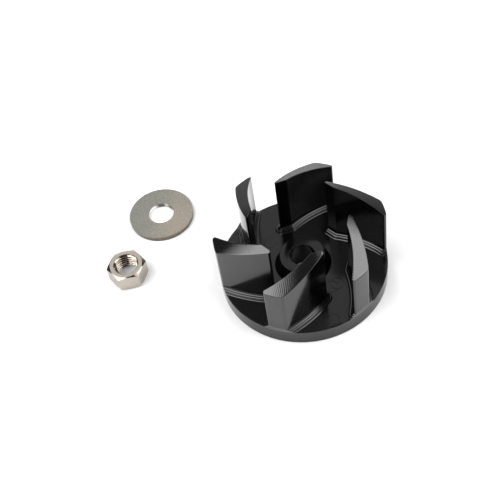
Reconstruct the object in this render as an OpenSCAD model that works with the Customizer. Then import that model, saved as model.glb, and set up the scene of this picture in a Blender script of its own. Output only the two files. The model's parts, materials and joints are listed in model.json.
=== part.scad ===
// Water pump impeller kit: a one-piece bladed impeller, its shaft washer and its shaft nut.
// The impeller stands on its flat back at the origin, blades up, with its shaft bore on +Z.
// The washer and the nut lie beside it on the same surface.

/* [Impeller body] */
// Outer diameter of the base plate and of the blades
impeller_d = 66; // [56:1:76]
// Thickness of the base plate
plate_h = 6.5; // [4:0.5:8]
// Chamfer round the plate's bottom edge
plate_chamfer = 0.3; // [0.1:0.1:1]
// Diameter of the bore for the pump shaft
bore_d = 10; // [8:0.5:12]
// Chamfer at both ends of the bore
bore_chamfer = 0.2; // [0.1:0.1:0.8]
// Diameter of the hub's flat top, where the washer sits
hub_d = 17.6; // [16:0.2:19]
// Height of the hub's flat top above the bottom face
hub_top = 11.9; // [11:0.1:14]
// Diameter of the foot of the hub's sloped side, on the plate
hub_foot_d = 22.2; // [20:0.2:24]

/* [Blades] */
// Number of blades
blade_count = 6; // [4:1:6]
// Direction of the middle of the first blade's outer end
blade_direction = -117.8; // [-180:0.1:180]
// Height of a blade at the rim, above the bottom face
blade_rim_h = 28.9; // [20:0.1:32]
// Angle at which the blade tops rise towards the axis
blade_top_angle = 24.4; // [0:0.1:30]
// Angle that a blade's outer end takes up on the rim
blade_end_angle = 15.4; // [10:0.1:17]
// Angle from the middle of the outer end to the inner tip
blade_sweep = 50.5; // [46:0.1:53]
// Radius of the inner tip, as a share of the rim radius
tip_ratio = 0.577; // [0.56:0.001:0.6]
// Radius of the inner facet's far corner, as a share of the rim radius
facet_ratio = 0.563; // [0.54:0.001:0.57]
// Angle that the inner facet takes up, seen from the axis
facet_angle = 18.4; // [14:0.1:20]
// Curve of the convex side, as a share of the rim radius
convex_ratio = 1.616; // [1.5:0.001:2]
// Curve of the concave side, as a share of the rim radius
concave_ratio = 1.33; // [1.2:0.01:1.8]
// Rounding of the inner tip
tip_round = 0.7; // [0.3:0.1:1]
// Rounding of the outer corner on the convex side
heel_round = 2; // [0.5:0.1:3]
// Rounding of the outer corner on the concave side
toe_round = 0.8; // [0.3:0.1:1.2]
// Width and height of the slope at the foot of the blades
root_slope = 2; // [1:0.1:2.2]

/* [Washer] */
// Outer diameter of the washer
washer_d = 27; // [24:0.5:30]
// Hole of the washer
washer_hole_d = 10.5; // [8.5:0.1:12.5]
// Thickness of the washer
washer_h = 2; // [1:0.1:3]
// Break of the washer's sharp edges
washer_edge = 0.15; // [0.05:0.05:0.3]
// Place of the washer beside the impeller, along X
washer_x = -53.9; // [-60:0.1:-53]
// Place of the washer beside the impeller, along Y
washer_y = 42.3; // [41:0.1:60]

/* [Nut] */
// Width of the nut across its flats
nut_flats = 14; // [13:0.5:17]
// Height of the nut
nut_h = 7.6; // [6:0.1:10]
// Inner diameter of the nut's thread
thread_minor_d = 8.9; // [7:0.1:9.5]
// Diameter of the countersink at both ends of the thread
countersink_d = 10.2; // [10:0.1:11]
// Diameter of the round faces left by the corner chamfer, as a share of the width across flats
nut_face_ratio = 0.94; // [0.88:0.01:0.98]
// Angle of the corner chamfer
nut_chamfer_angle = 30; // [20:1:35]
// Place of the nut beside the impeller, along X
nut_x = -69.7; // [-80:0.1:-60]
// Place of the nut beside the impeller, along Y
nut_y = 13.9; // [0:0.1:18]
// Turn of the nut about its own axis
nut_turn = 3.4; // [-30:0.1:30]

/* [Hidden] */
$fn = 180;

rim_r = impeller_d / 2;
// Extra length that carries a cut clear of the solid it cuts
clear = 1;
// Depth to which the blades are set into the plate, so that they form one body
inset = 1;
// Steps that the cutter leaves in the slope at the foot of a blade
root_steps = 4;
// Room outside the rim for shapes that are cut back to it
outer_room = 5;

function polar(radius, angle) = radius * [cos(angle), sin(angle)];
function cross2(a, b) = a.x * b.y - a.y * b.x;
function whole_turn(angle) = angle < 0 ? angle + 360 : angle;

// Centre of the circle of the given radius through p and q, on the left of the way from p to q
function arc_centre(p, q, radius) =
    let (d = q - p, half = norm(d) / 2)
    (p + q) / 2 + [-d.y, d.x] / norm(d) * sqrt(radius * radius - half * half);

// The four corners of a blade, as sharp corners, for a blade whose outer end points along 0
heel = polar(rim_r, blade_end_angle / 2);
toe = polar(rim_r, -blade_end_angle / 2);
tip = polar(rim_r * tip_ratio, blade_sweep);
facet = polar(rim_r * facet_ratio, blade_sweep - facet_angle);

convex_r = rim_r * convex_ratio;
concave_r = rim_r * concave_ratio;
convex_centre = arc_centre(heel, tip, convex_r);
concave_centre = arc_centre(toe, facet, concave_r);

// Directions that the sides face where they meet at the corners
facet_way = (tip - facet) / norm(tip - facet);
facet_facing = whole_turn(atan2(facet_way.x, -facet_way.y));
tip_facing = atan2(tip.y - convex_centre.y, tip.x - convex_centre.x);
heel_facing = atan2(heel.y - convex_centre.y, heel.x - convex_centre.x);
toe_facing = whole_turn(atan2(concave_centre.y - toe.y, concave_centre.x - toe.x));

// Centre of the rounding of the tip, which touches the facet and the convex side
tip_round_centre =
    let (w = tip - tip_round * polar(1, facet_facing) - convex_centre,
         along = w * facet_way,
         r = convex_r - tip_round)
    w + convex_centre - facet_way * (along - sqrt(along * along - w * w + r * r));

// Centre of a rounding that touches the rim and a side circle from the inside or the outside
function rim_round_centre(corner, centre, side_r, round_r, out) =
    let (reach = norm(centre),
         a = rim_r - round_r,
         b = side_r + out * round_r,
         swing = acos((a * a + reach * reach - b * b) / (2 * a * reach)),
         turn = cross2(centre, corner) > 0 ? swing : -swing)
    polar(a, atan2(centre.y, centre.x) + turn);

heel_round_centre = rim_round_centre(heel, convex_centre, convex_r, heel_round, -1);
toe_round_centre = rim_round_centre(toe, concave_centre, concave_r, toe_round, 1);

// Straight cuts that round the corners: [centre, radius, direction faced]
corner_cuts = [
    for (i = [1:2]) [heel_round_centre, heel_round,
                     blade_end_angle / 2 + (heel_facing - blade_end_angle / 2) * i / 3],
    for (i = [1:4]) [tip_round_centre, tip_round,
                     tip_facing + (facet_facing - tip_facing) * i / 5],
    [tip_round_centre, tip_round, facet_facing],
    for (i = [1:4]) [toe_round_centre, toe_round,
                     toe_facing + (360 - blade_end_angle / 2 - toe_facing) * i / 5],
];

// Point where two cuts cross, each moved out by grow
function cut_crossing(a, b, grow) =
    let (na = polar(1, a[2]), nb = polar(1, b[2]),
         da = a[0] * na + a[1] + grow, db = b[0] * nb + b[1] + grow)
    [da * nb.y - db * na.y, db * na.x - da * nb.x] / cross2(na, nb);

// Height of the blade tops at a radius
function top_height(radius) = blade_rim_h + (rim_r - radius) * tan(blade_top_angle);

// Outline of one blade, grown by grow on every side and left long past the rim
module blade_outline(grow) {
    count = len(corner_cuts);
    intersection() {
        difference() {
            translate(convex_centre) circle(r = convex_r + grow);
            translate(concave_centre) circle(r = concave_r - grow);
        }
        polygon([for (i = [0:count - 1])
            cut_crossing(corner_cuts[i], corner_cuts[(i + 1) % count], grow)]);
    }
}

// One blade, with the steps of the slope at its foot, set into the plate
module blade() {
    step = root_slope / root_steps;
    translate([0, 0, plate_h - inset]) {
        linear_extrude(top_height(0)) blade_outline(0);
        for (i = [1:root_steps])
            linear_extrude(inset + step * i) blade_outline(root_slope - step * (i - 0.5));
    }
}

// The blank that the impeller is cut from: the rim, and the blade tops rising towards the axis
module turned_blank() {
    rotate_extrude() polygon([
        [0, 0], [rim_r - plate_chamfer, 0], [rim_r, plate_chamfer],
        [rim_r, top_height(rim_r)], [0, top_height(0)]]);
}

// Plate and hub as one turned body, wider than the rim and still without its bore
module plate_and_hub() {
    rotate_extrude() polygon([
        [0, -clear], [rim_r + outer_room, -clear], [rim_r + outer_room, plate_h],
        [hub_foot_d / 2, plate_h], [hub_d / 2, hub_top], [0, hub_top]]);
}

// Through bore with a chamfer at both ends
module bore_cut(radius, length, chamfer) {
    translate([0, 0, -clear]) cylinder(r = radius, h = length + 2 * clear);
    translate([0, 0, -clear])
        cylinder(r1 = radius + chamfer + clear, r2 = radius, h = chamfer + clear);
    translate([0, 0, length - chamfer])
        cylinder(r1 = radius, r2 = radius + chamfer + clear, h = chamfer + clear);
}

// One-piece impeller, milled from a black anodised aluminium billet
module impeller() {
    color("dimgray")
    difference() {
        intersection() {
            union() {
                plate_and_hub();
                for (i = [0:blade_count - 1])
                    rotate(blade_direction + 360 / blade_count * i) blade();
            }
            turned_blank();
        }
        bore_cut(bore_d / 2, hub_top, bore_chamfer);
    }
}

// Wide flat stainless washer
module washer() {
    color("darkgray")
    translate([washer_x, washer_y, 0])
    difference() {
        rotate_extrude() polygon([
            [0, 0], [washer_d / 2 - washer_edge, 0], [washer_d / 2, washer_edge],
            [washer_d / 2, washer_h - washer_edge], [washer_d / 2 - washer_edge, washer_h],
            [0, washer_h]]);
        bore_cut(washer_hole_d / 2, washer_h, washer_edge);
    }
}

// Stainless hexagon nut, chamfered at both ends
module nut() {
    corner_r = nut_flats / 2 / cos(30);
    face_r = nut_flats / 2 * nut_face_ratio;
    room = corner_r + clear;
    drop = (room - face_r) * tan(nut_chamfer_angle);
    color("silver")
    translate([nut_x, nut_y, 0]) rotate(nut_turn)
    difference() {
        intersection() {
            cylinder(r = corner_r, h = nut_h, $fn = 6);
            rotate_extrude() polygon([
                [0, 0], [face_r, 0], [room, drop], [room, nut_h - drop],
                [face_r, nut_h], [0, nut_h]]);
        }
        bore_cut(thread_minor_d / 2, nut_h, (countersink_d - thread_minor_d) / 2);
    }
}

impeller();
washer();
nut();
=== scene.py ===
"""Looks of the water pump impeller kit: the machined impeller, its washer and its nut.

Shapes are worked out in millimetres and turned into metres when a mesh is made.
"""

import json
import math

import bmesh
import bpy
import numpy as np
from mathutils import Matrix, Vector, geometry


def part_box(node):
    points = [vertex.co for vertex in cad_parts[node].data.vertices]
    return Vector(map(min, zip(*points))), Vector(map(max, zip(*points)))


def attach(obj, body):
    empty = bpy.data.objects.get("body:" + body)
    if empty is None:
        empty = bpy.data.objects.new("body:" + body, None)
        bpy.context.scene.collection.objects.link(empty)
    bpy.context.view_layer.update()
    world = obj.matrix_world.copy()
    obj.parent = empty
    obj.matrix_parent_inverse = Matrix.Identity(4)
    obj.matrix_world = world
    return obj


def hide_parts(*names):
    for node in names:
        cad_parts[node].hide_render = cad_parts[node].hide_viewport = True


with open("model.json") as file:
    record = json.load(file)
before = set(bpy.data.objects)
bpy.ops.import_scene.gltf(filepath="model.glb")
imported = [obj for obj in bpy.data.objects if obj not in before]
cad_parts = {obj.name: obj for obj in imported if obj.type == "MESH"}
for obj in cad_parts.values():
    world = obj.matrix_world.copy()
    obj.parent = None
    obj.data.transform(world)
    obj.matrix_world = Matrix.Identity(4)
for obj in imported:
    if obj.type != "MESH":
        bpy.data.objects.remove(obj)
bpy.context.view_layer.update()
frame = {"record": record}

MM = 0.001
MERGE = 0.002  # mm; points closer than this are one point
TINY = 1e-9  # mm; a difference below this is none

MOUNTS = {m["name"]: m for m in frame["record"]["mounts"]}


def hole_r(name):
    """Radius in millimetres that the record gives for a hole."""
    return float(MOUNTS[name]["dims"]["r_mm"])


def box_mm(node):
    """Lowest and highest corner of a CAD node in millimetres."""
    low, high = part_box(node)
    return np.array(low) / MM, np.array(high) / MM


# ---------------------------------------------------------------- driving sizes, in mm and degrees

_, IMPELLER_HIGH = box_mm("impeller")
RIM_R = float(IMPELLER_HIGH[1])
BORE_R = hole_r("shaft_bore")
HUB_TOP = MOUNTS["hub_seat"]["pos_m"][2] / MM
PLATE_H = 6.5
PLATE_CHAMFER = 0.3
BORE_CHAMFER = 0.2
HUB_R = 8.8
HUB_FOOT_R = 11.1
EDGE = 0.15  # rounding left on the machined edges

BLADES = 6
BLADE_DIRECTION = -117.8
BLADE_RIM_H = 28.9
TOP_ANGLE = 24.4
END_ANGLE = 15.4
SWEEP = 50.5
TIP_R = RIM_R * 0.577
FACET_R = RIM_R * 0.563
FACET_ANGLE = 18.4
CONVEX_R = RIM_R * 1.616
CONCAVE_R = RIM_R * 1.33
TIP_ROUND = 0.7
HEEL_ROUND = 2.0
TOE_ROUND = 0.8
ROOT_SLOPE = 2.0

RIDGE_TURN = 1.35  # angle between the fine ridges that run across the blade tops
RIDGE_DEPTH = 0.026  # depth of the hollows between them
RIDGE_STEPS = 4  # lines of points to a ridge
FOOT = (
    # way out from a blade's wall, height above the plate, cutter passes down to there
    (0.0, ROOT_SLOPE, 0),
    (1.2, 0.8, 2),
    (1.22, 0.6, 0),
    (1.47, 0.56, 0),
    (ROOT_SLOPE, 0.0, 1),
)
PASS_HOLLOW = 0.1  # depth of the hollow that a pass leaves, as a share of its length
MARK_R = 2.6  # rings left on the plate where the cutter went down
MARKS = (
    # distance from the axis, direction from a blade's outer end, share of MARK_R
    (16.9, 69, 1),
    (16.5, 60, 1),
    (29.6, 40.5, 0.9),
)
MARK_DEPTH = 0.02
MARK_HALF = 0.12  # half the width of a ring's groove
MARK_STEEPNESS = 1.5  # makes the middle third of a groove flat
MARK_LINES = (-1.8, -1, -1 / 3, 1 / 3, 1, 1.8)  # lines of points over it, in half widths from its middle
MARK_POINTS = 97  # points round each of those lines
NUDGE = 1e-6  # mm; shift of those points, which settles how the triangles between them fall


# ---------------------------------------------------------------- plane geometry


def along(degrees):
    """Unit vectors in the given directions."""
    a = np.radians(degrees)
    return np.stack([np.cos(a), np.sin(a)], -1)


def bearing(vector):
    """Direction of a vector in degrees."""
    return math.degrees(math.atan2(vector[1], vector[0]))


def arc_centre(p, q, radius):
    """Centre of the circle through p and q, on the left of the way from p to q."""
    d = q - p
    half = np.linalg.norm(d) / 2
    return (p + q) / 2 + np.array([-d[1], d[0]]) / (2 * half) * math.sqrt(radius**2 - half**2)


def rounding_centre(corner, centre, side_r, round_r, out):
    """Centre of a rounding that touches the rim, and a side circle from inside or outside."""
    reach, a, b = np.linalg.norm(centre), RIM_R - round_r, side_r + out * round_r
    swing = math.degrees(math.acos((a * a + reach * reach - b * b) / (2 * a * reach)))
    turn = swing if centre[0] * corner[1] - centre[1] * corner[0] > 0 else -swing
    return a * along(bearing(centre) + turn)


def angle_at_radius(centre, circle_r, radius):
    """Direction, seen from a circle's centre, of its point that lies at a radius from the axis."""
    reach = np.linalg.norm(centre)
    cosine = (radius**2 - reach**2 - circle_r**2) / (2 * circle_r * reach)
    return bearing(centre) + np.degrees(np.arccos(cosine))


def even_steps(points, count):
    """count points spaced evenly along a line of points."""
    lengths = np.concatenate([[0], np.cumsum(np.linalg.norm(np.diff(points, axis=0), axis=1))])
    wanted = np.linspace(0, lengths[-1], count)
    return np.stack([np.interp(wanted, lengths, points[:, i]) for i in range(2)], 1)


def cut_at_rim(points, rim_r):
    """The part of a line of points inside the rim, ending where it crosses it."""
    radii = np.linalg.norm(points, axis=1)
    past = radii > rim_r + TINY
    if not past.any():
        return points
    first = int(np.argmax(past))
    share = (rim_r - radii[first - 1]) / (radii[first] - radii[first - 1])
    crossing = points[first - 1] + share * (points[first] - points[first - 1])
    return np.vstack([points[:first], rim_r * crossing / np.linalg.norm(crossing)])


# ---------------------------------------------------------------- outline of one blade, outer end along +X

HEEL = RIM_R * along(END_ANGLE / 2)
TOE = RIM_R * along(-END_ANGLE / 2)
TIP = TIP_R * along(SWEEP)
FACET = FACET_R * along(SWEEP - FACET_ANGLE)
CONVEX_C = arc_centre(HEEL, TIP, CONVEX_R)
CONCAVE_C = arc_centre(TOE, FACET, CONCAVE_R)
FACET_WAY = (TIP - FACET) / np.linalg.norm(TIP - FACET)
FACET_FACING = bearing(np.array([-FACET_WAY[1], FACET_WAY[0]])) % 360


def tip_rounding_centre():
    """Centre of the rounding of the tip, which touches the facet and the convex side."""
    w = TIP - TIP_ROUND * along(FACET_FACING) - CONVEX_C
    step = w @ FACET_WAY
    r = CONVEX_R - TIP_ROUND
    return w + CONVEX_C - FACET_WAY * (step - math.sqrt(step * step - w @ w + r * r))


TIP_C = tip_rounding_centre()
HEEL_C = rounding_centre(HEEL, CONVEX_C, CONVEX_R, HEEL_ROUND, -1)
TOE_C = rounding_centre(TOE, CONCAVE_C, CONCAVE_R, TOE_ROUND, 1)

SIDE_OUTER_R = 31.0  # the sides run between these radii in steps of the ridges
CONVEX_INNER_R = 20.125
CONCAVE_INNER_R = 18.75
HEEL_POINTS, TIP_POINTS, FACET_POINTS, TOE_POINTS, END_POINTS = 30, 11, 48, 20, 33
CHANNEL_POINTS = 44  # points along the rim between two blades
CORNER_SAMPLES = 60  # points along a stretch near a corner, before they are spaced evenly
TOE_SIDE_SAMPLES = 40
PAST_RIM = 40  # degrees that the arc of a grown corner runs on, so that the rim can cut it


def ridge_turns(low, high):
    """Directions of the lines of points over the ridges, between low and high."""
    step = RIDGE_TURN / RIDGE_STEPS
    return np.arange(math.ceil(low / step), math.floor(high / step) + 1) * step


def side_turns(centre, circle_r, inner_r):
    """Directions from a side circle's centre of its points on the ridges, from the rim inwards."""
    ends = centre + circle_r * along(angle_at_radius(centre, circle_r, np.array([SIDE_OUTER_R, inner_r])))
    ways = along(ridge_turns(bearing(ends[0]), bearing(ends[1])))
    reach = ways @ centre
    far = reach + np.sqrt(reach**2 - centre @ centre + circle_r**2)
    near = reach - np.sqrt(reach**2 - centre @ centre + circle_r**2)
    length = far if abs(far[0] - SIDE_OUTER_R) < abs(near[0] - SIDE_OUTER_R) else near
    offsets = ways * length[:, None] - centre
    return np.degrees(np.unwrap(np.arctan2(offsets[:, 1], offsets[:, 0])))


def facet_corner(grow):
    """Where the facet meets the concave side, with both moved out by grow."""
    start = FACET + grow * along(FACET_FACING) - CONCAVE_C
    step = start @ FACET_WAY
    r = CONCAVE_R - grow
    return start + CONCAVE_C + FACET_WAY * (math.sqrt(step * step - start @ start + r * r) - step)


def blade_loop(grow):
    """Points round a blade moved out by grow, from the heel inwards, round the tip and out along the rim."""
    rim_r = RIM_R + min(grow, 0)
    past_rim = PAST_RIM if grow > 0 else 0
    heel_side = bearing(HEEL_C - CONVEX_C)
    turns = side_turns(CONVEX_C, CONVEX_R, CONVEX_INNER_R)
    convex = CONVEX_C + (CONVEX_R + grow) * along(turns)
    side_turn = np.linspace(turns[0], heel_side, CORNER_SAMPLES)
    corner_turn = np.linspace(heel_side, bearing(HEEL_C) - past_rim, CORNER_SAMPLES)
    heel = np.vstack([
        CONVEX_C + (CONVEX_R + grow) * along(side_turn),
        HEEL_C + (HEEL_ROUND + grow) * along(corner_turn)])
    heel = even_steps(cut_at_rim(heel, rim_r), HEEL_POINTS)[::-1]
    turn = np.linspace(bearing(TIP_C - CONVEX_C), FACET_FACING, TIP_POINTS)
    tip = TIP_C + (TIP_ROUND + grow) * along(turn)
    corner = facet_corner(grow)
    share = np.linspace(0, 1, FACET_POINTS)[1:, None]
    facet = tip[-1] * (1 - share) + corner * share
    turns = side_turns(CONCAVE_C, CONCAVE_R, CONCAVE_INNER_R)[::-1]
    concave = CONCAVE_C + (CONCAVE_R - grow) * along(turns)
    toe_side = bearing(TOE_C - CONCAVE_C)
    side_turn = np.linspace(turns[-1], toe_side, TOE_SIDE_SAMPLES)
    corner_turn = np.linspace(toe_side + 180, bearing(TOE_C) + 360 + past_rim, CORNER_SAMPLES)
    toe = np.vstack([
        CONCAVE_C + (CONCAVE_R - grow) * along(side_turn),
        TOE_C + (TOE_ROUND + grow) * along(corner_turn)])
    toe = even_steps(cut_at_rim(toe, rim_r), TOE_POINTS)[1:]
    end = rim_r * along(np.linspace(bearing(toe[-1]), bearing(heel[0]), END_POINTS))[1:-1]
    return np.vstack([heel[:-1], convex, tip, facet, concave, toe, end])


def top_height(points):
    """Height of the ridged blade tops at some points in the plane."""
    share = (np.degrees(np.arctan2(points[:, 1], points[:, 0])) / RIDGE_TURN) % 1.0
    ridge = RIDGE_DEPTH * ((2 * share - 1) ** 2 - 1)
    fall = math.tan(math.radians(TOP_ANGLE))
    return BLADE_RIM_H + (RIM_R - np.linalg.norm(points, axis=1)) * fall + ridge


def turned(points, degrees):
    """Points in the plane or in space turned about the axis."""
    c, s = math.cos(math.radians(degrees)), math.sin(math.radians(degrees))
    out = np.array(points, float)
    out[..., 0], out[..., 1] = (points[..., 0] * c - points[..., 1] * s,
                                points[..., 0] * s + points[..., 1] * c)
    return out


def lifted(points, heights):
    """Points in the plane put at heights."""
    return np.column_stack([points, np.broadcast_to(heights, len(points))])


# ---------------------------------------------------------------- gathering surfaces into one mesh

INSIDE_LOOPS = 1  # what Blender's triangulation is asked for: the triangles inside the loops
NEARNESS = 1e-5  # mm; how near two points are when it takes them as one


class Skin:
    """Points in millimetres and faces of several surfaces, which become one mesh where they meet."""

    def __init__(self):
        self.points, self.faces, self.finishes, self.count = [], [], [], 0

    def add(self, points, faces, finish):
        """Faces given by the numbers of their points, all with one finish."""
        self.points.append(np.asarray(points, float).reshape(-1, 3))
        self.faces += [[self.count + int(i) for i in face] for face in faces]
        self.finishes += [finish] * len(faces)
        self.count += len(self.points[-1])

    def grid(self, rows, finishes):
        """Quads between closed rows of equally many points, with a finish for each step."""
        rows = np.asarray(rows)
        n = rows.shape[1]
        start = self.count
        self.points.append(rows.reshape(-1, 3))
        self.count += rows.shape[0] * n
        for i, finish in enumerate(finishes):
            low, high = start + i * n, start + (i + 1) * n
            for j in range(n):
                k = (j + 1) % n
                self.faces.append([low + j, low + k, high + k, high + j])
                self.finishes.append(finish)

    def mesh(self, name):
        """The merged mesh in metres, with its faces turned outwards."""
        mesh = bpy.data.meshes.new(name)
        mesh.from_pydata(np.vstack(self.points).tolist(), [], self.faces)
        mesh.polygons.foreach_set("material_index", self.finishes)
        bm = bmesh.new()
        bm.from_mesh(mesh)
        bmesh.ops.remove_doubles(bm, verts=bm.verts, dist=MERGE)
        bmesh.ops.dissolve_degenerate(bm, edges=bm.edges, dist=MERGE / 4)
        bmesh.ops.recalc_face_normals(bm, faces=bm.faces)
        bmesh.ops.scale(bm, vec=(MM, MM, MM), verts=bm.verts)
        bm.to_mesh(mesh)
        bm.free()
        return mesh


def fill(loops, inner, keep):
    """Triangles between closed loops in the plane, through inner lines of points.

    keep tells from the triangles' middles which of them stay.
    """
    points, edges = [], []
    for line, closed in [(loop, True) for loop in loops] + [(line, False) for line in inner]:
        base = len(points)
        points += [Vector(p) for p in line]
        edges += [(base + i, base + i + 1) for i in range(len(line) - 1)]
        if closed:
            edges.append((base + len(line) - 1, base))
    verts, _, faces, _, _, _ = geometry.delaunay_2d_cdt(points, edges, [], INSIDE_LOOPS, NEARNESS)
    verts = np.array([tuple(v) for v in verts])
    middles = np.array([verts[list(f)].mean(0) for f in faces])
    wanted = keep(middles)
    return verts, [f for f, ok in zip(faces, wanted) if ok]


def inside(points, loop, margin=0.0):
    """Which points are inside a closed loop and at least margin away from it."""
    a, b = loop, np.roll(loop, -1, axis=0)
    x, y = points[:, 0:1], points[:, 1:2]
    crosses = (a[:, 1] > y) != (b[:, 1] > y)
    with np.errstate(divide="ignore", invalid="ignore"):
        at = (b[:, 0] - a[:, 0]) * (y - a[:, 1]) / (b[:, 1] - a[:, 1]) + a[:, 0]
    odd = (crosses & (x < at)).sum(1) % 2 == 1
    if not margin:
        return odd
    d = b - a
    share = np.clip(((x - a[:, 0]) * d[:, 0] + (y - a[:, 1]) * d[:, 1]) / (d**2).sum(1), 0, 1)
    gap = np.hypot(x - a[:, 0] - share * d[:, 0], y - a[:, 1] - share * d[:, 1]).min(1)
    return odd & (gap > margin)


def finished_object(name, mesh, materials, crease):
    """An object with smooth faces, sharp edges past the crease angle, and its materials."""
    obj = bpy.data.objects.new(name, mesh)
    bpy.context.scene.collection.objects.link(obj)
    for material in materials:
        mesh.materials.append(material)
    mesh.polygons.foreach_set("use_smooth", [True] * len(mesh.polygons))
    mesh.set_sharp_from_angle(angle=math.radians(crease))
    even = obj.modifiers.new("even_normals", "WEIGHTED_NORMAL")
    even.keep_sharp = True
    return obj


# ---------------------------------------------------------------- impeller

BODY, TOPS, EDGES, FLOOR, ROOTS = range(5)
IMPELLER_CREASE = 25  # degrees past which an edge is shown sharp
TOP_STEP = 0.6  # spacing of the points along a ridge
TOP_MARGIN = 0.06  # least distance of those points from the edge of a blade's top
MARK_MARGIN = 0.1  # least distance of the marks' points from the edge of the plate's floor
EDGE_TURNS = np.radians([0, 22.5, 45, 67.5, 90])  # points round a rounded edge
EDGE_TAPER = 1.0  # the rim's rounding narrows to nothing over this length beside a blade
PASS_POINTS = (0.33, 0.67)  # points along the hollow of a cutter's pass
BACK_RINGS, BORE_RINGS, HUB_RINGS = 12, 7, 6


def foot_profile():
    """Way out from a blade's wall, and height above the plate, of the points down its foot."""
    points = [np.array(FOOT[0][:2])]
    for out, up, passes in FOOT[1:]:
        start, end = points[-1], np.array([out, up])
        way = (end - start) / max(passes, 1)
        inward = PASS_HOLLOW * np.array([way[1], -way[0]])
        for i in range(passes):
            points += [start + way * (i + share) + inward for share in PASS_POINTS]
            points.append(start + way * (i + 1))
        if not passes:
            points.append(end)
    return points


def blade_surfaces(skin):
    """Walls, rounded top edges, ridged tops and sloped feet of all the blades."""
    rows, finishes = [], []
    for turn in EDGE_TURNS[::-1]:
        loop = blade_loop(-EDGE * (1 - math.cos(turn)))
        rows.append(lifted(loop, top_height(loop) - EDGE * (1 - math.sin(turn))))
    finishes += [EDGES] * (len(EDGE_TURNS) - 1)
    profile = foot_profile()
    rows += [lifted(blade_loop(out), PLATE_H + up) for out, up in profile]
    finishes += [BODY] + [ROOTS] * (len(profile) - 1)
    rows = np.array(rows)

    edge_loop = rows[0][:, :2]
    arcs = []
    for turn in ridge_turns(-END_ANGLE, SWEEP + END_ANGLE):
        line = np.arange(TIP_R - ROOT_SLOPE, RIM_R, TOP_STEP)[:, None] * along(turn)
        ok = inside(line, edge_loop, TOP_MARGIN)
        runs = np.split(np.arange(len(line)), np.where(~ok)[0])
        arcs += [line[run[ok[run]]] for run in runs if ok[run].sum() > 1]
    cap, faces = fill([edge_loop], arcs, lambda middles: inside(middles, edge_loop))
    cap = lifted(cap, top_height(cap))

    for k in range(BLADES):
        direction = BLADE_DIRECTION + 360 / BLADES * k
        skin.grid([turned(row, direction) for row in rows], finishes)
        skin.add(turned(cap, direction), faces, TOPS)


def rim_columns():
    """Directions of the points on the rim, and how wide the rounded edge is at each."""
    foot = blade_loop(ROOT_SLOPE)
    heel = bearing(foot[0])
    toe = bearing(foot[-(END_POINTS - 2) - 1])
    angles, widths = [], []
    for k in range(BLADES):
        direction = BLADE_DIRECTION + 360 / BLADES * k
        across = np.linspace(toe, heel, END_POINTS)[:-1]
        channel = np.linspace(heel, toe + 360 / BLADES, CHANNEL_POINTS)[:-1]
        angles += [direction + across, direction + channel]
        room = np.minimum(channel - heel, toe + 360 / BLADES - channel) * math.pi / 180 * RIM_R
        widths += [np.zeros(len(across)), EDGE * np.clip(room / EDGE_TAPER, 0, 1)]
    return np.concatenate(angles), np.concatenate(widths)


def ring(angles, radius, height):
    """A ring of points about the axis. Radius and height may differ from point to point."""
    return lifted(along(angles) * np.reshape(radius, (-1, 1)), height)


def turned_surfaces(skin, angles, widths):
    """Everything that is round about the axis: rim, back, bore and hub."""
    rows, finishes = [], []

    def add(radius, height, finish=BODY):
        rows.append(ring(angles, radius, height))
        if len(rows) > 1:
            finishes.append(finish)

    for turn in EDGE_TURNS[::-1]:
        add(RIM_R - widths * (1 - math.cos(turn)), PLATE_H - widths * (1 - math.sin(turn)), EDGES)
    add(RIM_R, PLATE_CHAMFER)
    add(RIM_R - PLATE_CHAMFER, 0, EDGES)
    for radius in np.linspace(RIM_R - PLATE_CHAMFER, BORE_R + BORE_CHAMFER, BACK_RINGS)[1:]:
        add(radius, 0, FLOOR)
    add(BORE_R, BORE_CHAMFER, EDGES)
    for height in np.linspace(BORE_CHAMFER, HUB_TOP - BORE_CHAMFER, BORE_RINGS)[1:]:
        add(BORE_R, height, FLOOR)
    add(BORE_R + BORE_CHAMFER, HUB_TOP, EDGES)
    add((BORE_R + HUB_R) / 2, HUB_TOP, FLOOR)
    for turn in EDGE_TURNS[::-1]:
        finish = FLOOR if turn == EDGE_TURNS[-1] else EDGES
        add(HUB_R - EDGE * (1 - math.cos(turn)), HUB_TOP - EDGE * (1 - math.sin(turn)), finish)
    for share in np.linspace(0, 1, HUB_RINGS):
        add(HUB_R + (HUB_FOOT_R - HUB_R) * share, HUB_TOP - EDGE + (PLATE_H - HUB_TOP + EDGE) * share)
    skin.grid(rows, finishes)


def mark_rings(k):
    """Centres and radii of the rings that the cutter left beside blade k."""
    rings = []
    for radius, turn, size in MARKS:
        centre = radius * along(BLADE_DIRECTION + 360 / BLADES * k + turn)
        rings.append((centre, MARK_R * size))
    return rings


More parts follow.
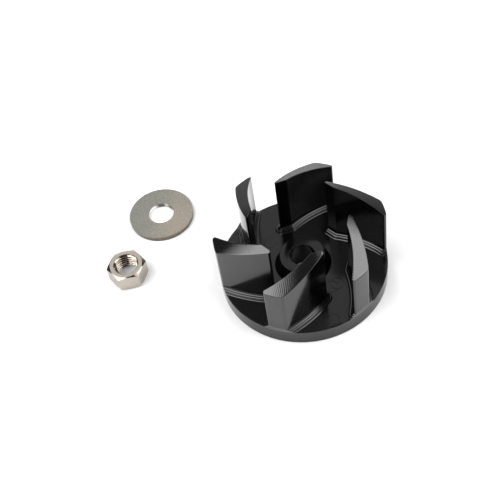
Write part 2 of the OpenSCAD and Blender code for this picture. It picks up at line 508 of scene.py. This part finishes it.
def plate_floor(skin, angles, widths):
    """The plate between the blades, with the rings that the cutter left."""
    foot = blade_loop(ROOT_SLOPE)
    chain = foot[: len(foot) - (END_POINTS - 2)][::-1]
    outer = []
    per_blade = len(angles) // BLADES
    for k in range(BLADES):
        direction = BLADE_DIRECTION + 360 / BLADES * k
        outer.append(turned(chain, direction))
        channel = slice(k * per_blade + END_POINTS, (k + 1) * per_blade)
        edge = RIM_R - widths[channel]
        outer.append(along(angles[channel]) * edge[:, None])
    outer = np.vstack(outer)
    inner = HUB_FOOT_R * along(angles)
    marks = [m for k in range(BLADES) for m in mark_rings(k)]
    lines = []
    for centre, size in marks:
        for off in MARK_LINES:
            circle = centre + (size + off * MARK_HALF) * along(np.linspace(0, 360, MARK_POINTS))
            lines.append(circle[inside(circle, outer, MARK_MARGIN)] + NUDGE)
    flat_r = HUB_FOOT_R * math.cos(math.pi / len(angles))
    verts, faces = fill(
        [outer, inner], [line for line in lines if len(line) > 1],
        lambda middles: np.linalg.norm(middles, axis=1) > flat_r)
    depth = np.zeros(len(verts))
    for centre, size in marks:
        off = np.abs(np.linalg.norm(verts - centre, axis=1) - size)
        depth = np.maximum(depth, MARK_DEPTH * np.clip(MARK_STEEPNESS * (1 - off / MARK_HALF), 0, 1))
    skin.add(lifted(verts, PLATE_H - depth), faces, FLOOR)


def make_impeller(materials):
    """The impeller as one closed mesh, on its own body."""
    skin = Skin()
    angles, widths = rim_columns()
    blade_surfaces(skin)
    turned_surfaces(skin, angles, widths)
    plate_floor(skin, angles, widths)
    mesh = skin.mesh("impeller_body")
    impeller = finished_object("impeller_body", mesh, materials, IMPELLER_CREASE)
    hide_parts("impeller")
    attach(impeller, "impeller")


# ---------------------------------------------------------------- washer

ROLLED, SHEARED, PUNCHED = range(3)
WASHER_CREASE = 35
WASHER_COLUMNS = 240
WASHER_TOP_RINGS, WASHER_BACK_RINGS = 9, 5
ROLL = 0.1  # rounding of the top edges
ROLL_TURNS = (18, 36, 54, 72)
BURR = 0.1  # slope that breaks the bottom edges
LEAN_MIDDLE, LEAN_LOW = 0.01, 0.03  # how far the outer wall leans in halfway down, and lower down


def make_washer(materials):
    """The washer as one closed mesh, on its own body."""
    low, high = box_mm("washer")
    middle, outer_r, height = (low + high) / 2, (high[0] - low[0]) / 2, high[2]
    inner_r = hole_r("washer_hole")
    angles = np.arange(WASHER_COLUMNS) * 360 / WASHER_COLUMNS
    rows, finishes = [], []

    def add(radius, z, finish):
        points = ring(angles, radius, z)
        points[:, :2] += middle[:2]
        rows.append(points)
        if len(rows) > 1:
            finishes.append(finish)

    add(inner_r + ROLL, height, ROLLED)
    for radius in np.linspace(inner_r + ROLL, outer_r - ROLL, WASHER_TOP_RINGS)[1:]:
        add(radius, height, ROLLED)
    for turn in np.radians([*ROLL_TURNS[::-1], 0]):
        add(outer_r - ROLL * (1 - math.cos(turn)), height - ROLL * (1 - math.sin(turn)), ROLLED)
    add(outer_r - LEAN_MIDDLE, height / 2, SHEARED)
    add(outer_r - LEAN_LOW, BURR, SHEARED)
    add(outer_r - LEAN_LOW - BURR, 0, SHEARED)
    for radius in np.linspace(outer_r - LEAN_LOW - BURR, inner_r + BURR, WASHER_BACK_RINGS)[1:]:
        add(radius, 0, ROLLED)
    add(inner_r, BURR, SHEARED)
    add(inner_r, height - ROLL, PUNCHED)
    for turn in np.radians(ROLL_TURNS):
        add(inner_r + ROLL * (1 - math.cos(turn)), height - ROLL * (1 - math.sin(turn)), ROLLED)
    add(inner_r + ROLL, height, ROLLED)
    skin = Skin()
    skin.grid(rows, finishes)
    washer = finished_object("washer_plate", skin.mesh("washer_plate"), materials, WASHER_CREASE)
    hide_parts("washer")
    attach(washer, "washer")


# ---------------------------------------------------------------- nut

DRAWN, TURNED, THREADED = range(3)
NUT_CREASE = 20
NUT_TURN = 3.4
NUT_FACE_RATIO = 0.94  # round face left by the chamfer, as a share of the width across flats
NUT_CHAMFER = 30
NUT_CORNER_ROUND = 0.35
NUT_SIDE_POINTS, NUT_CORNER_POINTS = 30, 7
OUTWARDS, INWARDS = (0.33, 0.67, 1), (0.67, 0.33, 0)  # steps over a chamfer or a flat, and back
COUNTERSINK_R = 5.1
THREAD_PITCH = 1.25
THREAD_DEPTH = 0.62
THREAD_STEPS = 110  # steps up the threaded hole
CREST, FLANK = 0.22, 0.56  # shares of half a pitch that a crest and a flank take up
FLANK_EASE = 0.35  # how far the flank's straight slope gives way to a rounded one


def hexagon(flats, corner_round, per_side, per_corner):
    """Points round a hexagon with rounded corners, the first corner along +X."""
    reach = (flats / 2 - corner_round) / math.cos(math.pi / 6)
    points = []
    for k in range(6):
        here, there = reach * along(60 * k), reach * along(60 * (k + 1))
        points += list(here + corner_round * along(60 * k + np.linspace(-30, 30, per_corner)))
        side = corner_round * along(60 * k + 30)
        share = np.linspace(0, 1, per_side + 2)[1:-1, None]
        points += list(side + here * (1 - share) + there * share)
    return np.array(points)


def thread_radius(angles, z, low, high):
    """Radius of the threaded hole: the helical groove, opened out by a countersink at both ends."""
    minor = hole_r("nut_thread")
    phase = (z / THREAD_PITCH - angles / 360) % 1
    flank = np.clip((0.5 - np.abs(phase - 0.5)) * 2, 0, 1)
    groove = np.clip((flank - CREST) / FLANK, 0, 1)
    groove = groove * groove * (3 - 2 * groove) * FLANK_EASE + groove * (1 - FLANK_EASE)
    open_end = COUNTERSINK_R - np.minimum(z - low, high - z)
    return np.maximum(minor + THREAD_DEPTH * groove, open_end)


def make_nut(materials):
    """The nut as one closed mesh, on its own body."""
    low, high = box_mm("nut")
    middle = (low + high) / 2
    height = high[2]
    corner_r = (high[1] - middle[1]) / math.cos(math.radians(30 - NUT_TURN))
    flats = 2 * corner_r * math.cos(math.pi / 6)
    face_r = flats / 2 * NUT_FACE_RATIO
    slope = math.tan(math.radians(NUT_CHAMFER))
    outline = hexagon(flats, NUT_CORNER_ROUND, NUT_SIDE_POINTS, NUT_CORNER_POINTS)
    radii = np.linalg.norm(outline, axis=1)
    angles = np.degrees(np.arctan2(outline[:, 1], outline[:, 0]))
    drop = (radii - face_r) * slope
    rows, finishes = [], []

    def add(radius, z, finish):
        points = turned(ring(angles, np.broadcast_to(radius, len(angles)), z), NUT_TURN)
        points[:, :2] += middle[:2]
        rows.append(points)
        if len(rows) > 1:
            finishes.append(finish)

    for radius in (COUNTERSINK_R, (COUNTERSINK_R + face_r) / 2, face_r):
        add(radius, height, DRAWN)
    for share in OUTWARDS:
        add(face_r + (radii - face_r) * share, height - drop * share, TURNED)
    for share in OUTWARDS:
        add(radii, height - drop + (2 * drop - height) * share, DRAWN)
    for share in INWARDS:
        add(face_r + (radii - face_r) * share, drop * share, TURNED)
    add(COUNTERSINK_R, 0, DRAWN)
    for i in range(1, THREAD_STEPS + 1):
        z = height * i / THREAD_STEPS
        add(thread_radius(angles, z, 0, height), z, THREADED)
    skin = Skin()
    skin.grid(rows, finishes)
    nut = finished_object("hex_nut", skin.mesh("hex_nut"), materials, NUT_CREASE)
    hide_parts("nut")
    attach(nut, "nut")


# ---------------------------------------------------------------- materials

NOISE_LOW, NOISE_HIGH = 0.3, 0.7  # most values of a noise lie between these


class Nodes:
    """Short calls for building a material's nodes."""

    def __init__(self, name):
        self.material = bpy.data.materials.new(name)
        self.material.use_nodes = True
        self.tree = self.material.node_tree
        self.tree.nodes.clear()
        out = self.tree.nodes.new("ShaderNodeOutputMaterial")
        self.shader = self.tree.nodes.new("ShaderNodeBsdfPrincipled")
        self.link(self.shader.outputs[0], out.inputs["Surface"])

    def link(self, output, socket):
        """Leads a node's output to another node's socket."""
        self.tree.links.new(output, socket)

    def add(self, kind, **inputs):
        """A new node with some of its inputs set."""
        node = self.tree.nodes.new(kind)
        for key, value in inputs.items():
            self.set(node, key.replace("_", " "), value)
        return node

    def set(self, node, key, value):
        """Gives a node's input, by name or number, a value or another node's output."""
        socket = node.inputs[int(key)] if key.isdigit() else node.inputs[key]
        if isinstance(value, bpy.types.NodeSocket):
            self.link(value, socket)
        else:
            socket.default_value = value

    def place(self, scale):
        """Object coordinates, in metres, stretched by scale along each axis."""
        coords = self.tree.nodes.new("ShaderNodeTexCoord")
        mapping = self.tree.nodes.new("ShaderNodeMapping")
        self.link(coords.outputs["Object"], mapping.inputs["Vector"])
        mapping.inputs["Scale"].default_value = scale
        return mapping.outputs[0]

    def noise(self, scale, detail, stretch=(1, 1, 1), rough=0.5):
        """Noise in the object's own coordinates."""
        node = self.add("ShaderNodeTexNoise", Vector=self.place(stretch), Scale=scale,
                        Detail=detail, Roughness=rough)
        return node.outputs["Fac"]

    def ranged(self, value, low, high, start=NOISE_LOW, end=NOISE_HIGH):
        """A value between start and end spread over low to high."""
        node = self.tree.nodes.new("ShaderNodeMapRange")
        for key, number in (("From Min", start), ("From Max", end), ("To Min", low), ("To Max", high)):
            node.inputs[key].default_value = number
        self.link(value, node.inputs["Value"])
        return node.outputs[0]

    def math(self, operation, a, b=0.0):
        """One step of arithmetic on one or two values."""
        node = self.tree.nodes.new("ShaderNodeMath")
        node.operation = operation
        self.set(node, "0", a)
        self.set(node, "1", b)
        return node.outputs[0]

    def colours(self, value, dark, light):
        """A colour between dark and light."""
        node = self.tree.nodes.new("ShaderNodeValToRGB")
        node.color_ramp.elements[0].color = (*dark, 1)
        node.color_ramp.elements[1].color = (*light, 1)
        node.color_ramp.elements[0].position = NOISE_LOW
        node.color_ramp.elements[1].position = NOISE_HIGH
        self.link(value, node.inputs[0])
        return node.outputs[0]

    def mixed(self, share, a, b):
        """Two colours mixed by a share."""
        node = self.tree.nodes.new("ShaderNodeMix")
        node.data_type = "RGBA"
        self.link(share, node.inputs["Factor"])
        self.link(a, node.inputs["A"])
        self.link(b, node.inputs["B"])
        return node.outputs["Result"]

    def rings(self, centre, pitch):
        """Ridges in circles about a vertical line through centre, in millimetres."""
        coords = self.tree.nodes.new("ShaderNodeTexCoord")
        parts = self.add("ShaderNodeSeparateXYZ", Vector=coords.outputs["Object"])
        x = self.math("SUBTRACT", parts.outputs[0], centre[0] * MM)
        y = self.math("SUBTRACT", parts.outputs[1], centre[1] * MM)
        square = self.math("ADD", self.math("MULTIPLY", x, x), self.math("MULTIPLY", y, y))
        radius = self.math("SQRT", square)
        return self.math("SINE", self.math("MULTIPLY", radius, math.tau / (pitch * MM)))

    def bump(self, height, distance, strength, below=None):
        """Relief of some depth in metres, on top of the relief below."""
        node = self.add("ShaderNodeBump", Height=height, Distance=distance, Strength=strength)
        if below is not None:
            self.link(below, node.inputs["Normal"])
        return node.outputs[0]


ANODISED_IOR = 1.6
PAINTED_SHADE_TOP_H = 2 * PLATE_H  # height from which the walls mirror in full; lower down their reflection is dimmed as painted shade


def anodised(name, dark, light, rough, shine, streaks=None, rings=None, painted_shade_shine=None):
    """Black anodised aluminium. shine can fall off to a lower level at the impeller's back, which is painted
    shade: it dims the walls' reflection near the plate.

    streaks stretches a noise into scratches, and rings is the pitch of turning marks in mm.
    """
    n = Nodes(name)
    n.set(n.shader, "Base Color", n.colours(n.noise(scale=120, detail=3), dark, light))
    n.shader.inputs["IOR"].default_value = ANODISED_IOR
    n.shader.inputs["Specular IOR Level"].default_value = shine
    # painted shade: the gloss falls with height towards the plate, so the walls' reflection dims there
    if painted_shade_shine:
        height = n.add("ShaderNodeSeparateXYZ", Vector=n.place((1, 1, 1))).outputs[2]
        painted_shade_fade = n.ranged(height, painted_shade_shine, shine, start=0.0, end=PAINTED_SHADE_TOP_H * MM)
        n.set(n.shader, "Specular IOR Level", painted_shade_fade)
    n.set(n.shader, "Roughness", n.ranged(n.noise(scale=900, detail=3), rough - 0.02, rough + 0.03))
    normal = n.bump(n.noise(scale=9000, detail=2), distance=0.000001, strength=0.6)
    if streaks:
        scratches = n.noise(scale=1100, detail=3, stretch=streaks)
        normal = n.bump(scratches, distance=0.000014, strength=0.5, below=normal)
    if rings:
        normal = n.bump(n.rings((0, 0), rings), distance=0.000001, strength=0.7, below=normal)
    n.set(n.shader, "Normal", normal)
    return n.material


def impeller_materials():
    """One finish for each of BODY, TOPS, EDGES, FLOOR and ROOTS."""
    dark, light = (0.0008, 0.0008, 0.0009), (0.0016, 0.0015, 0.0016)
    edge_dark, edge_light = (0.01, 0.01, 0.01), (0.03, 0.029, 0.028)
    return [
        # the walls carry painted shade: their shine is lowered near the plate
        anodised("anodised_walls_painted_shade", dark, light, rough=0.12, shine=0.45, streaks=(1, 1, 0.04),
                 painted_shade_shine=0.25),
        anodised("anodised_tops", dark, light, rough=0.1, shine=0.95, rings=0.12),
        anodised("anodised_edges", edge_dark, edge_light, rough=0.2, shine=0.38),
        anodised("anodised_plate", dark, light, rough=0.15, shine=0.26),
        anodised("anodised_feet", dark, light, rough=0.18, shine=0.75),
    ]


PATCH_SLOPE = 16  # how fast the share of lighter, warmer patches grows, per metre that x - y grows


def with_warm_patches(n, colour, centre, dark, light):
    """A colour with lighter, warmer patches, which grow from the upper left of centre to its lower right."""
    parts = n.add("ShaderNodeSeparateXYZ", Vector=n.place((1, 1, 1)))
    across = n.math("SUBTRACT", parts.outputs[0], parts.outputs[1])
    past_middle = n.math("SUBTRACT", across, (centre[0] - centre[1]) * MM)
    slope = n.math("MULTIPLY", past_middle, PATCH_SLOPE)
    cover = n.math("ADD", n.noise(scale=90, detail=4, rough=0.65), slope)
    patches = n.ranged(cover, 0.0, 1.0, start=0.3, end=0.8)
    return n.mixed(patches, colour, n.colours(n.noise(scale=900, detail=4), dark, light))


def stainless(name, dark, light, rough, grain, grain_depth, rings=None, warm_patches=None, painted_reflections=False):
    """Bare stainless steel, mottled from dark to light.

    grain stretches its fine noise, and rings is the centre and the pitch of turning marks in mm.
    """
    n = Nodes(name)
    n.shader.inputs["Metallic"].default_value = 1.0
    # painted highlights and dark reflections: coarse blotches from near black to near white, over the
    # steel's own uneven tone
    if painted_reflections:
        painted_reflection_blotches = n.noise(scale=150, detail=1, stretch=(1, 1, 0.3))
        mottle_and_painted_reflections = n.ranged(painted_reflection_blotches, 0.2, 0.8, start=0.42, end=0.55)
    else:
        mottle_and_painted_reflections = n.noise(scale=600, detail=5, rough=0.7)
    colour = n.colours(mottle_and_painted_reflections, dark, light)
    if warm_patches:
        colour = with_warm_patches(n, colour, *warm_patches)
    n.set(n.shader, "Base Color", colour)
    n.set(n.shader, "Roughness", n.ranged(n.noise(scale=2500, detail=3), rough - 0.05, rough + 0.06))
    fine = n.noise(scale=5200, detail=3, stretch=grain)
    normal = n.bump(fine, distance=grain_depth, strength=0.8)
    if rings:
        normal = n.bump(n.rings(*rings), distance=0.000004, strength=0.6, below=normal)
    n.set(n.shader, "Normal", normal)
    return n.material


def washer_materials():
    """One finish for each of ROLLED, SHEARED and PUNCHED."""
    low, high = box_mm("washer")
    dark, light = (0.235, 0.235, 0.208), (0.29, 0.29, 0.26)
    warm_patches = (low + high)[:2] / 2, (0.345, 0.305, 0.25), (0.395, 0.355, 0.295)
    edge_dark, edge_light = (0.10, 0.09, 0.075), (0.18, 0.165, 0.14)
    return [
        stainless("rolled_steel", dark, light, rough=0.24, grain=(1, 0.25, 1),
                  grain_depth=0.000004, warm_patches=warm_patches),
        stainless("sheared_steel", edge_dark, edge_light, rough=0.3, grain=(1, 1, 0.15),
                  grain_depth=0.00002),
        # the hole wall: partly its own uneven tone, partly painted highlights and dark reflections
        stainless("punched_steel_painted_reflections", (0.1, 0.09, 0.075), (0.85, 0.83, 0.79), rough=0.12,
                  grain=(1, 1, 0.1), grain_depth=0.00001, painted_reflections=True),
    ]


def nut_materials():
    """One finish for each of DRAWN, TURNED and THREADED."""
    low, high = box_mm("nut")
    centre = (low + high)[:2] / 2
    dark, light = (0.39, 0.35, 0.305), (0.46, 0.42, 0.37)
    return [
        stainless("drawn_steel", dark, light, rough=0.14, grain=(1, 1, 0.2), grain_depth=0.000003),
        stainless("turned_steel", dark, light, rough=0.09, grain=(1, 1, 1), grain_depth=0.000003,
                  rings=(centre, 0.14)),
        stainless("threaded_steel", (0.15, 0.11, 0.08), (0.72, 0.65, 0.57), rough=0.11,
                  grain=(1, 1, 1), grain_depth=0.000004),
    ]


# ---------------------------------------------------------------- studio, in metres and degrees

FLOOR_HALF = 3.0
PAPER_GREY, PAPER_ROUGH = 0.78, 0.8
GLOW_FROM, GLOW_TO, GLOW = 0.5, 1.2, 1.1  # the paper glows this far out, fully there, this bright
LIGHT_REACH = 1.0  # distance of the softboxes
SOFTBOXES = (
    # direction from the impeller, width, length
    ((-0.58, -0.08, 0.81), 0.70, 1.00),
    ((0.66, -0.06, 0.75), 0.70, 0.88),
)
MIRRORED, SCATTERED = 3.0, 4.8  # brightness of a softbox, and how much more it has for scattered light
BACKDROP_Y = 1.1
BACKDROP = (
    # left, right, low and high edge, brightness
    (-0.66, -0.12, 0.0, 0.55, 0.36),
    (-0.12, 0.50, 0.0, 0.55, 0.9),
    (0.50, 0.80, 0.0, 0.55, 0.5),
    (-0.66, 0.66, 0.55, 2.0, 1.15),
    (0.80, 1.5, 0.3, 0.75, 0.35),
)
ROOM, LOW_FRONT = 0.08, 0.5  # brightness of the room, and added low in front
ROOM_COLOUR = (1, 0.98, 0.96, 1)
ROOM_RAMPS = (("Y", -0.15, -0.45), ("Z", 0.5, 0.3))  # where a direction passes from dim to bright
DOME_R = 2.9
CAMERA_TARGET = (-0.019717, 0.016016, 0)
CAMERA_DISTANCE, CAMERA_ELEVATION, CAMERA_ROLL = 0.41128, 51.585, -9.99
CAMERA_CLIP = 0.01, 20
SENSOR_MM, LENS_MM = 36.0, 72.62


def glowing(name, brightness):
    """A white surface of a set brightness."""
    n = Nodes(name)
    n.shader.inputs["Base Color"].default_value = (0, 0, 0, 1)
    n.shader.inputs["Specular IOR Level"].default_value = 0.0
    n.shader.inputs["Emission Color"].default_value = (1, 1, 1, 1)
    n.shader.inputs["Emission Strength"].default_value = brightness
    return n.material


def stage_mesh(name, points, faces, material):
    mesh = bpy.data.meshes.new(name)
    mesh.from_pydata(points, [], faces)
    mesh.materials.append(material)
    obj = bpy.data.objects.new(name, mesh)
    bpy.context.scene.collection.objects.link(obj)
    return obj


def paper_material():
    """White paper, which glows far from the object, where the softboxes hardly reach."""
    n = Nodes("floor_paper")
    n.shader.inputs["Base Color"].default_value = (PAPER_GREY, PAPER_GREY, PAPER_GREY, 1)
    n.shader.inputs["Roughness"].default_value = PAPER_ROUGH
    n.shader.inputs["Specular IOR Level"].default_value = 0.0
    n.shader.inputs["Emission Color"].default_value = (1, 1, 1, 1)
    length = n.tree.nodes.new("ShaderNodeVectorMath")
    length.operation = "LENGTH"
    n.link(n.place((1, 1, 1)), length.inputs[0])
    glow = n.ranged(length.outputs["Value"], 0.0, GLOW, GLOW_FROM, GLOW_TO)
    n.set(n.shader, "Emission Strength", glow)
    return n.material


def make_floor():
    """The paper that the pieces lie on."""
    h = FLOOR_HALF
    corners = [(-h, -h, 0), (h, -h, 0), (h, h, 0), (-h, h, 0)]
    stage_mesh("floor", corners, [(0, 1, 2, 3)], paper_material())


def make_backdrop():
    """Glowing cards behind the object, which surfaces mirror and the camera doesn't see."""
    for i, (left, right, low, high, brightness) in enumerate(BACKDROP):
        corners = [(left, BACKDROP_Y, low), (right, BACKDROP_Y, low),
                   (right, BACKDROP_Y, high), (left, BACKDROP_Y, high)]
        name = f"backdrop_{i}"
        card = stage_mesh(name, corners, [(0, 1, 2, 3)], glowing(name, brightness))
        card.visible_camera = False


def make_dome():
    """A pale surround that only the camera sees."""
    bm = bmesh.new()
    bmesh.ops.create_icosphere(bm, subdivisions=3, radius=DOME_R)
    points = [tuple(v.co) for v in bm.verts]
    faces = [tuple(v.index for v in f.verts) for f in bm.faces]
    bm.free()
    dome = stage_mesh("surround", points, faces, glowing("surround", 1.0))
    for ray in ("diffuse", "glossy", "transmission", "volume_scatter", "shadow"):
        setattr(dome, "visible_" + ray, False)


def make_softboxes():
    """Each softbox is two lights in one place. Surfaces mirror only one of them."""
    for i, (direction, width, length) in enumerate(SOFTBOXES):
        for kind, brightness in (("mirrored", MIRRORED), ("scattered", SCATTERED)):
            light = bpy.data.lights.new(f"softbox_{i}_{kind}", "AREA")
            light.shape = "RECTANGLE"
            light.size, light.size_y = width, length
            light.energy = math.pi * width * length * brightness
            obj = bpy.data.objects.new(light.name, light)
            bpy.context.scene.collection.objects.link(obj)
            back = Vector(direction).normalized()
            side = Vector((0, 1, 0)).cross(back).normalized()
            up = back.cross(side)
            obj.matrix_world = Matrix((side, up, back)).transposed().to_4x4()
            obj.location = back * LIGHT_REACH
            obj.visible_glossy = kind == "mirrored"


def make_world():
    """A dim room, brighter low in front, where flat tops seen low from behind mirror it."""
    world = bpy.data.worlds.new("room")
    world.use_nodes = True
    tree = world.node_tree
    coords = tree.nodes.new("ShaderNodeTexCoord")
    parts = tree.nodes.new("ShaderNodeSeparateXYZ")
    tree.links.new(coords.outputs["Generated"], parts.inputs[0])
    value = ROOM + LOW_FRONT
    for axis, start, end in ROOM_RAMPS:
        ramp = tree.nodes.new("ShaderNodeMapRange")
        ramp.inputs["From Min"].default_value = start
        ramp.inputs["From Max"].default_value = end
        ramp.inputs["To Min"].default_value = ROOM
        if isinstance(value, float):
            ramp.inputs["To Max"].default_value = value
        else:
            tree.links.new(value, ramp.inputs["To Max"])
        tree.links.new(parts.outputs[axis], ramp.inputs["Value"])
        value = ramp.outputs[0]
    background = tree.nodes["Background"]
    background.inputs["Color"].default_value = ROOM_COLOUR
    tree.links.new(value, background.inputs["Strength"])
    world.cycles.sampling_method = "NONE"  # sampled as a lamp, it would darken the shadows slightly
    bpy.context.scene.world = world


def make_camera():
    """The camera that matches the view from above and in front."""
    elevation, roll = math.radians(CAMERA_ELEVATION), math.radians(CAMERA_ROLL)
    data = bpy.data.cameras.new("camera")
    data.sensor_width, data.lens = SENSOR_MM, LENS_MM
    data.clip_start, data.clip_end = CAMERA_CLIP
    camera = bpy.data.objects.new("camera", data)
    bpy.context.scene.collection.objects.link(camera)
    forward = Vector((0, math.cos(elevation), -math.sin(elevation)))
    level = Vector((1, 0, 0))
    upright = Vector((0, math.sin(elevation), math.cos(elevation)))
    right = level * math.cos(roll) + upright * math.sin(roll)
    up = upright * math.cos(roll) - level * math.sin(roll)
    camera.matrix_world = Matrix((right, up, -forward)).transposed().to_4x4()
    camera.location = Vector(CAMERA_TARGET) - CAMERA_DISTANCE * forward
    bpy.context.scene.camera = camera


# ---------------------------------------------------------------- the scene

make_camera()
make_world()
make_floor()
make_backdrop()
make_dome()
make_softboxes()
bpy.context.scene.view_settings.view_transform = "Standard"
make_impeller(impeller_materials())
make_washer(washer_materials())
make_nut(nut_materials())

bpy.context.view_layer.update()
